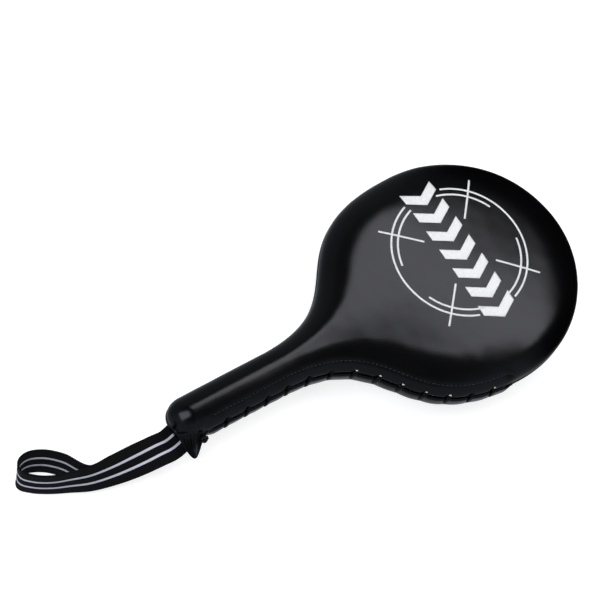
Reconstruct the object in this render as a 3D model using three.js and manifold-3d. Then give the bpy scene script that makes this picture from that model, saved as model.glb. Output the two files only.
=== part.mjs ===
// A round striking paddle: two moulded leather covers laced together over foam and a bat-shaped
// board, with a webbing wrist loop at the butt of the handle.
// Millimetres. X runs along the handle towards the head, Z is up out of the front face, and the
// origin is the centre of the flat on the back of the head.
import * as THREE from 'three';
import { mergeVertices } from 'three/addons/utils/BufferGeometryUtils.js';
import Module from 'manifold-3d';

const wasm = await Module();
wasm.setup();

// ---- driving dimensions
const buttX = -276; // free end of the handle
const tipX = 104; // far end of the head
const headHalfWidth = 97; // at x = 0, the widest place
const handleRadius = 17;
const capLength = 19; // rounded end of the handle
const capRoundness = 0.85; // below 1 the end is squarer than an ellipse
const neckStartX = -181; // the handle starts to flare here
const neckPull = 107; // how far the handle's line carries on into the flare
const shoulderPull = 123; // how far the head's line carries back into the flare
const neckRootPower = 2.2; // how early the neck's ribs lean towards the head
const midZ = 27; // height of the middle plane, where the two covers meet
const rimHeight = 23; // half height of the head's rolled rim
const rimWidth = 34; // how far in the rim rolls over
const crownHeight = 4; // the head's face rises this much from rim to middle
const crownFlat = 0.38; // the middle of each face is flat out to this part of its half width

const leather = 1.6;
const partGap = 0.3; // between touching pieces
const coverGap = 0.3; // from the middle plane to each cover's edge
const boardHalf = 3; // half the core board's thickness
const boardInset = 12; // from the cover's outline to the board's edge
const tongueHalf = 7; // half the width of the board in the handle
const firmFoam = 8; // thickness of one firm layer
const foamStartX = -166; // the head's foams start here

const laceStartX = -248;
const laceEndX = -29;
const laceCount = 13; // turns of the lace
const laceRadius = 0.75;
const laceHoleRadius = 1.15;
const laceReach = 2.7; // half the lace turn's depth, across the wall
const laceRise = 5.5; // half the lace turn's height
const laceInset = 1.2; // from the outline in to the middle of a turn

const hemWidth = 15; // from a cover's edge to its stitch line, over the surface
const hemStartX = -246;
const hemEndX = -11;
const threadRadius = 0.4;

const webbingWidth = 25;
const webbing = 1.6; // thickness
const plySpacing = 2.0; // between the middles of the strap's two layers
const exitX = -280; // the strap bends here
const exitY = -9.8;
const exitZ = 18.6;
const innerEndLength = 42;
const innerEndTurn = THREE.MathUtils.degToRad(14);
const bendRoom = 3.2; // from the bend to the inner ends, so that the loop's end can turn up or down

const rivetRadius = 2;
const rivetHeadRadius = 4.5;
const rivetHole = 2.3;
const rivetSpots = [[-264, -4], [-250, -3]];

// ---- materials
function finish(color, roughness, metalness = 0) {
  return new THREE.MeshStandardMaterial({ color, roughness, metalness });
}

const blackLeather = finish(0x17181c, 0.45);
const laceLeather = finish(0x101114, 0.5);
const blackThread = finish(0x0c0c0e, 0.7);
const boardWood = finish(0xb08a58, 0.7);
const firmFoamGrey = finish(0x5a5c60, 0.9);
const softFoamWhite = finish(0xd8d4c8, 0.95);
const blackWebbing = finish(0x16161a, 0.85);
const steel = finish(0xb9bcc0, 0.35, 0.9);

const far = 500; // well past the paddle on every side

const group = new THREE.Group();

function addPiece(name, geometry, material) {
  const mesh = new THREE.Mesh(geometry, material);
  mesh.name = name;
  group.add(mesh);
}

// ---- meshes and booleans
function welded(geometry) {
  const bare = geometry.clone();
  bare.deleteAttribute('normal');
  bare.deleteAttribute('uv');
  return mergeVertices(bare, 1e-4);
}

function geometryFrom(points, faces) {
  const geometry = new THREE.BufferGeometry();
  geometry.setAttribute('position', new THREE.Float32BufferAttribute(points.flat(), 3));
  geometry.setIndex(faces.flat());
  const merged = mergeVertices(geometry, 1e-4);
  const index = Array.from(merged.index.array);
  const kept = [];
  for (let i = 0; i < index.length; i += 3) {
    const [a, b, c] = index.slice(i, i + 3);
    if (a !== b && b !== c && c !== a) kept.push(a, b, c);
  }
  merged.setIndex(kept);
  return merged;
}

function solidFrom(geometry) {
  const bare = welded(geometry);
  const vertProperties = new Float32Array(bare.attributes.position.array);
  const triVerts = new Uint32Array(bare.index.array);
  return new wasm.Manifold(new wasm.Mesh({ numProp: 3, vertProperties, triVerts }));
}

function geometryOf(solid) {
  const mesh = solid.getMesh();
  const geometry = new THREE.BufferGeometry();
  geometry.setAttribute('position', new THREE.BufferAttribute(mesh.vertProperties, 3));
  geometry.setIndex(new THREE.BufferAttribute(mesh.triVerts, 1));
  return geometry;
}

function cutFrom(geometry, cutters) {
  let solid = solidFrom(geometry);
  for (const cutter of cutters) solid = solid.subtract(solidFrom(cutter));
  return geometryOf(solid);
}

function boxBetween(low, high) {
  const size = high.map((value, i) => value - low[i]);
  const box = new THREE.BoxGeometry(...size);
  box.translate(...low.map((value, i) => value + size[i] / 2));
  return box;
}

function uprightCylinder(radius, x, y, lowZ, highZ, sides = 16) {
  const cylinder = new THREE.CylinderGeometry(radius, radius, highZ - lowZ, sides);
  cylinder.rotateX(Math.PI / 2);
  cylinder.translate(x, y, (lowZ + highZ) / 2);
  return cylinder;
}

function polygonSection(radius, sides) {
  const shape = new THREE.Shape();
  for (let i = 0; i < sides; i++) {
    const angle = (2 * Math.PI * (i + 0.5)) / sides;
    if (i === 0) shape.moveTo(radius * Math.cos(angle), radius * Math.sin(angle));
    else shape.lineTo(radius * Math.cos(angle), radius * Math.sin(angle));
  }
  shape.closePath();
  return shape;
}

function tubeAlong(points, radius, steps, sides) {
  const path = new THREE.CatmullRomCurve3(points);
  const shape = polygonSection(radius, sides);
  return new THREE.ExtrudeGeometry(shape, { steps, bevelEnabled: false, extrudePath: path });
}

// ---- the outline of the paddle, one side, from the butt to the tip
function smoothStep(low, high, value) {
  const t = THREE.MathUtils.clamp((value - low) / (high - low), 0, 1);
  return t * t * (3 - 2 * t);
}

const neckCurve = new THREE.CubicBezierCurve(
  new THREE.Vector2(neckStartX, handleRadius),
  new THREE.Vector2(neckStartX + neckPull, handleRadius),
  new THREE.Vector2(-shoulderPull, headHalfWidth),
  new THREE.Vector2(0, headHalfWidth),
);

// A station is a place on the outline: its point, its outward normal and the place on the middle
// line that its rib runs to.
function makeStations(capSteps, handleSteps, neckSteps, headSteps) {
  const places = [];
  for (let i = 0; i < capSteps; i++) {
    const angle = (Math.PI / 2) * (i / capSteps);
    const x = buttX + capLength * (1 - Math.cos(angle) ** capRoundness);
    const point = new THREE.Vector2(x, handleRadius * Math.sin(angle) ** capRoundness);
    places.push({ point, rootX: buttX + handleRadius });
  }
  const straightStart = buttX + capLength;
  for (let i = 0; i < handleSteps; i++) {
    const x = THREE.MathUtils.lerp(straightStart, neckStartX, i / handleSteps);
    places.push({ point: new THREE.Vector2(x, handleRadius), rootX: x });
  }
  for (let i = 0; i < neckSteps; i++) {
    const t = i / neckSteps;
    places.push({ point: neckCurve.getPoint(t), rootX: neckStartX * (1 - t) ** neckRootPower });
  }
  for (let i = 0; i <= headSteps; i++) {
    const angle = (Math.PI / 2) * (i / headSteps);
    const y = i === headSteps ? 0 : headHalfWidth * Math.cos(angle);
    places.push({ point: new THREE.Vector2(tipX * Math.sin(angle), y), rootX: 0 });
  }
  const last = places.length - 1;
  return places.map(({ point, rootX }, i) => {
    const before = places[Math.max(i - 1, 0)].point;
    const along = places[Math.min(i + 1, last)].point.clone().sub(before).normalize();
    let normal = new THREE.Vector2(-along.y, along.x);
    if (i === 0) normal = new THREE.Vector2(-1, 0);
    if (i === last) normal = new THREE.Vector2(1, 0);
    return { point, normal, rootX };
  });
}

// How far the section at an x has turned from the round handle (0) into the head (1).
function headShare(x) {
  return smoothStep(neckStartX, 0, x);
}

// A point on the skin: side is +1 or -1 in y, u runs from the outline (0) to the middle line (1),
// and depth is how far below the outer surface it lies. Its z is measured from the middle plane.
function skinPoint(station, side, u, depth) {
  const startX = station.point.x - station.normal.x * depth;
  const startY = Math.max(station.point.y - station.normal.y * depth, 0);
  const x = THREE.MathUtils.lerp(startX, station.rootX, u);
  const share = headShare(x);
  const high = THREE.MathUtils.lerp(handleRadius, rimHeight, share) - depth;
  const wide = THREE.MathUtils.lerp(handleRadius, rimWidth, share) - depth;
  const y = startY * (1 - u);
  const inward = u * Math.hypot(startX - station.rootX, startY);
  const roll = 1 - Math.min(inward / wide, 1);
  const spread = Math.max(0, 1 - u - crownFlat) / (1 - crownFlat);
  const crown = crownHeight * share * (1 - spread * spread);
  return new THREE.Vector3(x, side * y, high * Math.sqrt(1 - roll * roll) + crown);
}

const rimRows = 5;
const faceRows = 3;

// The rows of a skin: close together over the rolled rim, then wider apart to the middle line.
function rowPlaces(station) {
  const reach = Math.hypot(station.point.x - station.rootX, station.point.y);
  const wide = THREE.MathUtils.lerp(handleRadius, rimWidth, headShare(station.point.x));
  const rimShare = Math.min(wide / reach, 0.9);
  const rows = [];
  for (let j = 0; j <= rimRows; j++) {
    rows.push(rimShare * (1 - Math.cos((Math.PI / 2) * (j / rimRows))));
  }
  for (let j = 1; j <= faceRows; j++) rows.push(rimShare + (1 - rimShare) * (j / faceRows));
  return rows;
}

// Columns go once round the outline: up the +y side and back down the -y side.
function columnsFrom(stations) {
  const last = stations.length - 1;
  const columns = stations.map((station) => ({ station, side: 1 }));
  for (let i = last - 1; i > 0; i--) columns.push({ station: stations[i], side: -1 });
  return columns;
}

function sheetFaces(columnCount, rowCount, start, flipped) {
  const faces = [];
  for (let k = 0; k < columnCount; k++) {
    const next = (k + 1) % columnCount;
    for (let j = 0; j < rowCount - 1; j++) {
      const a = start + k * rowCount + j;
      const b = start + next * rowCount + j;
      faces.push(flipped ? [a, a + 1, b] : [a, b, a + 1]);
      faces.push(flipped ? [b, a + 1, b + 1] : [b, b + 1, a + 1]);
    }
  }
  return faces;
}

function rimFaces(columnCount, rowCount, outerStart, innerStart, flipped) {
  const faces = [];
  for (let k = 0; k < columnCount; k++) {
    const next = (k + 1) % columnCount;
    const a = outerStart + k * rowCount;
    const b = outerStart + next * rowCount;
    const c = innerStart + k * rowCount;
    const d = innerStart + next * rowCount;
    faces.push(flipped ? [a, b, c] : [a, c, b]);
    faces.push(flipped ? [b, d, c] : [b, c, d]);
  }
  return faces;
}

const stations = makeStations(5, 3, 12, 11);
const columns = columnsFrom(stations);

// ---- covers: an outer and an inner skin joined round the edge

function coverGeometry(faceSign) {
  const points = [];
  for (const depth of [0, leather]) {
    for (const { station, side } of columns) {
      for (const u of rowPlaces(station)) {
        const p = skinPoint(station, side, u, depth);
        points.push([p.x, p.y, midZ + faceSign * Math.max(p.z, coverGap)]);
      }
    }
  }
  const rowCount = rimRows + faceRows + 1;
  const innerStart = columns.length * rowCount;
  const flipped = faceSign < 0;
  const faces = [
    ...sheetFaces(columns.length, rowCount, 0, !flipped),
    ...sheetFaces(columns.length, rowCount, innerStart, flipped),
    ...rimFaces(columns.length, rowCount, 0, innerStart, !flipped),
  ];
  return geometryFrom(points, faces);
}

// ---- places along the laced edge, which is the -y side
const fineStations = makeStations(24, 40, 80, 40);

function edgeAt(x) {
  const next = fineStations.findIndex((station) => station.point.x > x);
  const a = fineStations[next - 1];
  const b = fineStations[next];
  const t = (x - a.point.x) / (b.point.x - a.point.x);
  const point = a.point.clone().lerp(b.point, t);
  const normal = a.normal.clone().lerp(b.normal, t).normalize();
  return { point, normal, rootX: THREE.MathUtils.lerp(a.rootX, b.rootX, t) };
}

// x places that divide the laced edge into equal lengths
function evenPlaces(startX, endX, count) {
  const walk = [{ x: startX, length: 0 }];
  const fineStep = 1;
  for (let x = startX + fineStep; x <= endX; x += fineStep) {
    const before = edgeAt(x - fineStep).point;
    const length = walk[walk.length - 1].length + edgeAt(x).point.distanceTo(before);
    walk.push({ x, length });
  }
  const total = walk[walk.length - 1].length;
  const places = [];
  for (let i = 0; i <= count; i++) {
    const wanted = (total * i) / count;
    places.push(walk.find((step) => step.length >= wanted - 1e-6).x);
  }
  return places;
}

// ---- lace: a long turn through both hems at every stitch
const lacePointsPerTurn = 8;

function lacePoints() {
  const places = evenPlaces(laceStartX, laceEndX, laceCount * lacePointsPerTurn);
  return places.map((x, i) => {
    const edge = edgeAt(x);
    const angle = (2 * Math.PI * i) / lacePointsPerTurn;
    const out = laceReach * Math.cos(angle) - laceInset;
    const px = edge.point.x + edge.normal.x * out;
    const py = edge.point.y + edge.normal.y * out;
    return new THREE.Vector3(px, -py, midZ + laceRise * Math.sin(angle));
  });
}

const laceSteps = laceCount * lacePointsPerTurn;
const laceGeometry = tubeAlong(lacePoints(), laceRadius, laceSteps, 5);
const laceHoles = tubeAlong(lacePoints(), laceHoleRadius, laceSteps, 5);

// ---- wrist strap: its two inner ends lie under the tongue and come out at the butt corner
function innerEnd(widthExtra, lowZ, highZ, lengthExtra) {
  const length = innerEndLength + lengthExtra;
  const box = new THREE.BoxGeometry(length, webbingWidth + widthExtra, highZ - lowZ);
  box.translate(innerEndLength / 2 - lengthExtra / 2, 0, 0);
  box.rotateZ(innerEndTurn);
  box.translate(exitX + partGap, exitY, (lowZ + highZ) / 2);
  return box;
}

function keepBetweenX(geometry, lowX, highX) {
  const keep = solidFrom(boxBetween([lowX, -far, -far], [highX, far, far]));
  return geometryOf(solidFrom(geometry).intersect(keep));
}

const strapSlotMargin = 0.4;
const upperPlyLow = exitZ + (plySpacing - webbing) / 2;
const lowerPlyHigh = exitZ - (plySpacing - webbing) / 2;
const strapSlot = innerEnd(
  2 * strapSlotMargin,
  lowerPlyHigh - webbing - strapSlotMargin,
  upperPlyLow + webbing + strapSlotMargin,
  3,
);

addPiece('front_cover', cutFrom(coverGeometry(1), [laceHoles, strapSlot]), blackLeather);
addPiece('back_cover', cutFrom(coverGeometry(-1), [laceHoles, strapSlot]), blackLeather);
addPiece('edge_lace', laceGeometry, laceLeather);

// ---- lace knot: a flattened lump beside the first turn
function laceKnot() {
  const knot = new THREE.IcosahedronGeometry(3, 1);
  knot.scale(1.1, 0.75, 1.1);
  knot.translate(laceStartX - 4.2, -handleRadius - 3, midZ + 4.5);
  return knot;
}

addPiece('lace_knot', laceKnot(), laceLeather);

// ---- stitch lines: a thread lying on the cover beside the laced edge
function onSurface(edge, arc, lift) {
  const step = 0.002;
  let u = 0;
  let length = 0;
  let here = skinPoint(edge, -1, 0, 0);
  while (length < arc) {
    u += step;
    const next = skinPoint(edge, -1, u, 0);
    length += next.distanceTo(here);
    here = next;
  }
  const ahead = skinPoint(edge, -1, u + step, 0).sub(here);
  const flat = Math.hypot(ahead.x, ahead.y);
  const outward = new THREE.Vector3(-ahead.x * ahead.z, -ahead.y * ahead.z, flat * flat);
  return here.addScaledVector(outward.normalize(), lift);
}

function hemStitching(faceSign) {
  const lift = threadRadius + 0.35;
  const points = evenPlaces(hemStartX, hemEndX, 34).map((x) => onSurface(edgeAt(x), hemWidth, lift));
  for (const arc of [11, 7, 3]) {
    points.push(onSurface(edgeAt(hemEndX + (hemWidth - arc) / 3), arc, lift));
  }
  for (const point of points) point.z = midZ + faceSign * point.z;
  return tubeAlong(points, threadRadius, 60, 4);
}

addPiece('front_hem_stitching', hemStitching(1), blackThread);
addPiece('back_hem_stitching', hemStitching(-1), blackThread);

// ---- side seam thread: inside, along the unlaced edge and round the head
function sideSeam() {
  const inset = leather + partGap + threadRadius;
  const points = stations
    .filter((station) => station.point.x > buttX + capLength)
    .map(({ point, normal }) => {
      const x = point.x - normal.x * inset;
      return new THREE.Vector3(x, Math.max(point.y - normal.y * inset, 0), midZ);
    });
  return tubeAlong(points, threadRadius, 60, 4);
}

addPiece('side_seam_stitching', sideSeam(), blackThread);

// ---- core board and foams: outlines set in from the covers
function insetOutline(startX, inset, leastHalf) {
  const side = [];
  for (const { point, normal } of stations) {
    const x = point.x - normal.x * inset;
    const y = Math.max(point.y - normal.y * inset, point.x < 0 ? leastHalf : 0);
    if (x >= startX && point.x > buttX + capLength) side.push(new THREE.Vector2(x, y));
  }
  side.unshift(new THREE.Vector2(startX, leastHalf));
  return side;
}

function slab(startX, inset, leastHalf, lowZ, highZ) {
  const side = insetOutline(startX, inset, leastHalf);
  const shape = new THREE.Shape(side);
  for (const point of side.slice(0, -1).reverse()) shape.lineTo(point.x, -point.y);
  shape.closePath();
  const geometry = new THREE.ExtrudeGeometry(shape, { depth: highZ - lowZ, bevelEnabled: false });
  geometry.translate(0, 0, lowZ);
  return geometry;
}

function rivetHoles(lowZ, highZ) {
  return rivetSpots.map(([x, y]) => uprightCylinder(rivetHole, x, y, lowZ, highZ));
}

const boardStartX = buttX + 6;
const board = slab(boardStartX, boardInset, tongueHalf, midZ - boardHalf, midZ + boardHalf);
addPiece('core_board', cutFrom(board, rivetHoles(0, 2 * midZ)), boardWood);

const firmLow = boardHalf + partGap;
const firmHigh = firmLow + firmFoam;
const firmHalf = 9;
const frontFirm = slab(foamStartX, boardInset, firmHalf, midZ + firmLow, midZ + firmHigh);
const backFirm = slab(foamStartX, boardInset, firmHalf, midZ - firmHigh, midZ - firmLow);
addPiece('front_firm_foam', frontFirm, firmFoamGrey);
addPiece('back_firm_foam', backFirm, firmFoamGrey);

// A soft dome fills the cover above the firm layer: the cover's inner skin, cut off flat.
function innerBody(depth, faceSign) {
  const points = [];
  for (const flat of [false, true]) {
    for (const { station, side } of columns) {
      for (const u of rowPlaces(station)) {
        const p = skinPoint(station, side, u, depth);
        points.push([p.x, p.y, midZ + faceSign * (flat ? 0 : p.z)]);
      }
    }
  }
  const rowCount = rimRows + faceRows + 1;
  const flipped = faceSign < 0;
  const faces = [
    ...sheetFaces(columns.length, rowCount, 0, !flipped),
    ...sheetFaces(columns.length, rowCount, columns.length * rowCount, flipped),
  ];
  return geometryFrom(points, faces);
}

function softFoam(faceSign) {
  const lowest = firmHigh + partGap;
  const keepLow = midZ + (faceSign > 0 ? lowest : -2 * midZ);
  const keepHigh = midZ + (faceSign > 0 ? 2 * midZ : -lowest);
  const keep = solidFrom(boxBetween([foamStartX, -far, keepLow], [far, far, keepHigh]));
  const clearOfCover = leather + 0.9;
  return geometryOf(solidFrom(innerBody(clearOfCover, faceSign)).intersect(keep));
}

addPiece('front_soft_foam', softFoam(1), softFoamWhite);
addPiece('back_soft_foam', softFoam(-1), softFoamWhite);

// ---- handle foams: round backs on the tongue, stepped clear of the lace
function handleFoamSection() {
  const radius = handleRadius - leather - 0.7;
  const stepZ = laceRise + laceRadius + 0.9;
  const stepHalf = 9;
  const startAngle = Math.asin(stepZ / radius);
  const arcSteps = 9;
  const shape = new THREE.Shape();
  shape.moveTo(stepHalf, firmLow);
  shape.lineTo(stepHalf, stepZ);
  for (let i = 0; i <= arcSteps; i++) {
    const angle = THREE.MathUtils.lerp(startAngle, Math.PI - startAngle, i / arcSteps);
    shape.lineTo(radius * Math.cos(angle), radius * Math.sin(angle));
  }
  shape.lineTo(-stepHalf, stepZ);
  shape.lineTo(-stepHalf, firmLow);
  shape.closePath();
  return shape;
}

const handleFoamStartX = buttX + capLength - 4;
const handleFoamEndX = neckStartX + 10;

function handleFoam(faceSign) {
  const depth = handleFoamEndX - handleFoamStartX;
  const geometry = new THREE.ExtrudeGeometry(handleFoamSection(), { depth, bevelEnabled: false });
  geometry.rotateX(Math.PI / 2);
  geometry.rotateZ(Math.PI / 2);
  if (faceSign < 0) geometry.rotateX(Math.PI);
  geometry.translate(handleFoamStartX, 0, midZ);
  return geometry;
}

const pocketEndX = exitX + innerEndLength + 4;
const headClear = 0.4;
const rivetTopZ = midZ + boardHalf + 1.9;
const rivetLowZ = lowerPlyHigh - webbing - 1.8;
const frontPockets = rivetSpots.map(([x, y]) =>
  uprightCylinder(rivetHeadRadius + headClear, x, y, midZ, rivetTopZ + headClear),
);
const backPocket = boxBetween([buttX, -far, rivetLowZ - headClear], [pocketEndX, far, midZ]);
addPiece('front_handle_foam', cutFrom(handleFoam(1), frontPockets), softFoamWhite);
addPiece('back_handle_foam', cutFrom(handleFoam(-1), [backPocket]), softFoamWhite);

// ---- strap ends, rivets and washers
function fixedEnd(lowZ) {
  const squared = keepBetweenX(innerEnd(0, lowZ, lowZ + webbing, 5), exitX + bendRoom, far);
  return cutFrom(squared, rivetHoles(0, midZ));
}

addPiece('strap_upper_inner_end', fixedEnd(upperPlyLow), blackWebbing);
addPiece('strap_lower_inner_end', fixedEnd(lowerPlyHigh - webbing), blackWebbing);

function rivetProfile() {
  const headHigh = 1.4;
  return [
    new THREE.Vector2(0, 0),
    new THREE.Vector2(rivetHeadRadius - 1, 0),
    new THREE.Vector2(rivetHeadRadius, headHigh - 0.6),
    new THREE.Vector2(rivetHeadRadius, headHigh),
    new THREE.Vector2(rivetRadius, headHigh),
    new THREE.Vector2(rivetRadius, rivetTopZ - rivetLowZ),
    new THREE.Vector2(0, rivetTopZ - rivetLowZ),
  ];
}

rivetSpots.forEach(([x, y], i) => {
  const rivet = new THREE.LatheGeometry(rivetProfile(), 16);
  rivet.rotateX(Math.PI / 2);
  rivet.translate(x, y, rivetLowZ);
  addPiece(`strap_rivet_${i + 1}`, rivet, steel);
  const lowZ = midZ + boardHalf + partGap;
  const disc = uprightCylinder(rivetHeadRadius, x, y, lowZ, lowZ + 1);
  const hole = uprightCylinder(rivetHole, x, y, lowZ - 1, lowZ + 2);
  addPiece(`rivet_washer_${i + 1}`, cutFrom(disc, [hole]), steel);
});

// ---- gathered corner: leather drawn into pleats, wide at the handle and narrow at its tip
function gatheredCorner() {
  const pleats = 9;
  const around = pleats * 2;
  const rows = [
    { y: -handleRadius - 1.2, x: -265, wide: 9.8, high: 6.5, lift: 1.5 },
    { y: -handleRadius - 4.5, x: -266, wide: 8.6, high: 5.6, lift: 0.5 },
    { y: -handleRadius - 8.5, x: -268.5, wide: 6, high: 4, lift: -1 },
    { y: -handleRadius - 12, x: -271, wide: 3.2, high: 2.4, lift: -2.5 },
  ];
  const valley = 0.78;
  const points = [];
  for (const row of rows) {
    for (let i = 0; i < around; i++) {
      const angle = (2 * Math.PI * i) / around;
      const size = i % 2 ? valley : 1;
      const x = row.x + row.wide * size * Math.cos(angle);
      points.push([x, row.y, midZ + row.lift + row.high * size * Math.sin(angle)]);
    }
  }
  points.push([rows[0].x, rows[0].y, midZ + rows[0].lift]);
  points.push([rows[3].x, rows[3].y - 1, midZ + rows[3].lift]);
  const baseCentre = rows.length * around;
  const faces = [];
  for (let i = 0; i < around; i++) {
    const next = (i + 1) % around;
    for (let r = 0; r < rows.length - 1; r++) {
      const a = r * around + i;
      const b = r * around + next;
      faces.push([a, b, a + around], [b, b + around, a + around]);
    }
    const tip = (rows.length - 1) * around;
    faces.push([baseCentre, next, i], [baseCentre + 1, tip + i, tip + next]);
  }
  return geometryFrom(points, faces);
}

addPiece('gathered_corner', gatheredCorner(), blackLeather);

// ---- the free loop of the strap: x, y, z and how far the webbing has turned up on its edge
const doubledRoute = [
  [-275, -9.9, 18.6, 0],
  [-281, -9.8, 18.6, 1],
  [-291, -9.3, 18.3, 6],
  [-304, -8.4, 17.3, 22],
  [-328, -6, 15.2, 46],
  [-348, -2.5, 14, 62],
];
const nearRoute = [
  [-362, 1.5, 13.7, 72],
  [-377, 7, 13.6, 79],
  [-389, 14, 13.6, 80],
  [-396, 21.5, 13.6, 78],
  [-393.5, 28.5, 13.5, 74],
];
const farRoute = [
  [-385, 31, 13.4, 71],
  [-373, 27, 13.3, 69],
  [-361, 17, 13.4, 67],
];

function strapFrame(centre, along, turn) {
  const angle = THREE.MathUtils.degToRad(turn);
  const width = new THREE.Vector3(0, Math.cos(angle), Math.sin(angle));
  width.addScaledVector(along, -width.dot(along)).normalize();
  return { centre, width, face: new THREE.Vector3().crossVectors(width, along).normalize() };
}

function pathThrough(route) {
  return new THREE.CatmullRomCurve3(route.map(([x, y, z]) => new THREE.Vector3(x, y, z)));
}

// The doubled stretch, moved to the upper layer (+1) or the lower one (-1)
function layerRoute(layer) {
  const path = pathThrough(doubledRoute);
  return doubledRoute.map(([, , , turn], i) => {
    const t = i / (doubledRoute.length - 1);
    const { centre, face } = strapFrame(path.getPoint(t), path.getTangent(t), turn);
    const moved = centre.addScaledVector(face, (layer * plySpacing) / 2);
    return [moved.x, moved.y, moved.z, turn];
  });
}

function strapLoop() {
  const back = layerRoute(-1).reverse();
  const route = [...layerRoute(1), ...nearRoute, ...farRoute, ...back];
  const path = pathThrough(route);
  const steps = 64;
  const points = [];
  for (let i = 0; i <= steps; i++) {
    const t = i / steps;
    const place = t * (route.length - 1);
    const before = Math.min(Math.floor(place), route.length - 2);
    const turn = THREE.MathUtils.lerp(route[before][3], route[before + 1][3], place - before);
    const { centre, width, face } = strapFrame(path.getPoint(t), path.getTangent(t), turn);
    for (const [across, through] of [[1, 1], [1, -1], [-1, -1], [-1, 1]]) {
      const corner = centre.clone().addScaledVector(width, (across * webbingWidth) / 2);
      corner.addScaledVector(face, (through * webbing) / 2);
      points.push(corner.toArray());
    }
  }
  const faces = [];
  for (let i = 0; i < steps; i++) {
    for (let k = 0; k < 4; k++) {
      const a = i * 4 + k;
      const b = i * 4 + ((k + 1) % 4);
      faces.push([a, b, a + 4], [b, b + 4, a + 4]);
    }
  }
  const end = steps * 4;
  faces.push([0, 2, 1], [0, 3, 2], [end, end + 1, end + 2], [end, end + 2, end + 3]);
  return geometryFrom(points, faces);
}

addPiece('wrist_strap', keepBetweenX(strapLoop(), -far, exitX - partGap), blackWebbing);

export default group;
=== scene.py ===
# A round striking paddle in black leather, laced along one edge, with a webbing wrist loop.
# In metres: x runs from the butt to the head, z out of the front face.
import math
import random

import bmesh
import bpy
import numpy as np
from mathutils import Matrix, Vector, noise
from mathutils.bvhtree import BVHTree


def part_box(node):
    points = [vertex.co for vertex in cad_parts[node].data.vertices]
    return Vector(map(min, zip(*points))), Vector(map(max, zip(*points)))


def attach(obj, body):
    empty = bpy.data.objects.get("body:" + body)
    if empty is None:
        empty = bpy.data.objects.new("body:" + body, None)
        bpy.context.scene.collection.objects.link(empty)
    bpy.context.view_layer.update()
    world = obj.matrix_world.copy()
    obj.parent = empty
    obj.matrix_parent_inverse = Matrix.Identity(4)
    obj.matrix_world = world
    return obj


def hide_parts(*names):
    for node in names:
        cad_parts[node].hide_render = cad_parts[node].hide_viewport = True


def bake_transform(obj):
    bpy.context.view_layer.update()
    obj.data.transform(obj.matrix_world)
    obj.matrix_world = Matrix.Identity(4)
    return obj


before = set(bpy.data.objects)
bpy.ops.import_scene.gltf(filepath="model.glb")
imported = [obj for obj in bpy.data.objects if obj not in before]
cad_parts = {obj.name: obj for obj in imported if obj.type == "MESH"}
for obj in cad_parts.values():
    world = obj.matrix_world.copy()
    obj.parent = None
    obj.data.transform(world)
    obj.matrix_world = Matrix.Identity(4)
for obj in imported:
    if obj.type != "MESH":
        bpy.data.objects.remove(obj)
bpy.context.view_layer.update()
mm = 0.001


# Camera, floor and light

cameraFit = {
    "target": (-0.1236, 0.0422, 0.0265),
    "azimuth": -152.01,
    "elevation": 59.85,
    "roll": 31.11,
    "distance": 2.882,
    "lens": 222.5,
}


def makeCamera(fit):
    azimuth, elevation, roll = (math.radians(fit[k]) for k in ("azimuth", "elevation", "roll"))
    back = Vector((math.cos(azimuth) * math.cos(elevation), math.sin(azimuth) * math.cos(elevation),
                   math.sin(elevation)))
    level = (-back).cross(Vector((0, 0, 1))).normalized()
    upright = level.cross(-back)
    right = level * math.cos(roll) + upright * math.sin(roll)
    up = back.cross(right)
    data = bpy.data.cameras.new("camera")
    data.lens = fit["lens"]
    data.sensor_width = 36
    data.clip_start = 0.05
    camera = bpy.data.objects.new("camera", data)
    turn = Matrix((right, up, back)).transposed().to_4x4()
    camera.matrix_world = Matrix.Translation(Vector(fit["target"]) + back * fit["distance"]) @ turn
    bpy.context.scene.collection.objects.link(camera)
    bpy.context.scene.camera = camera


studio = {
    "overhead": {"at": (0.48, -0.04, 0.83), "size": (0.40, 1.26), "power": 6.8, "turn": 31.0,
                 "colour": (1.0, 0.99, 0.98)},
    "buttSide": {"at": (-0.80, 0.16, 0.90), "size": (0.50, 1.00), "power": 6.6, "towards": (-0.27, 0, 0.03),
                 "colour": (0.92, 0.95, 1.0)},
    "skyColour": (0.88, 0.93, 1.0),
    "sideGlow": 0.5,
    "farGlow": 0.55,
    "ceilingGlow": 0.1,
    "flagGlow": 0.01,
    "floorGlow": 0.3,
    "floorGlowAhead": 0.2,
    "floorOwnLight": 0.8,
    "floorColour": (0.45, 0.45, 0.455),
    "floorHalf": 6.0,
    "floorDrop": 0.0004,
    "wallHigh": 5.0,
    "ceilingZ": (0.5, 0.85),  # the world's glow fades over these ranges of a ray's direction
    "farY": (0.3, 0.7),
    "flagX": (0.4, 0.7),
    "aheadX": (0.2, 0.7),
    "belowZ": (-0.8, -0.4),
}


def makeLight(name, plan):
    data = bpy.data.lights.new(name, "AREA")
    data.shape = "RECTANGLE"
    data.size, data.size_y = plan["size"]
    data.energy = plan["power"]
    data.color = plan["colour"]
    light = bpy.data.objects.new(name, data)
    light.location = plan["at"]
    if "turn" in plan:  # flat overhead, turned about the vertical
        light.rotation_euler.z = math.radians(plan["turn"])
    else:
        light.rotation_mode = "QUATERNION"
        light.rotation_quaternion = (Vector(plan["towards"]) - Vector(plan["at"])).to_track_quat("-Z", "Y")
    bpy.context.scene.collection.objects.link(light)


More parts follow.
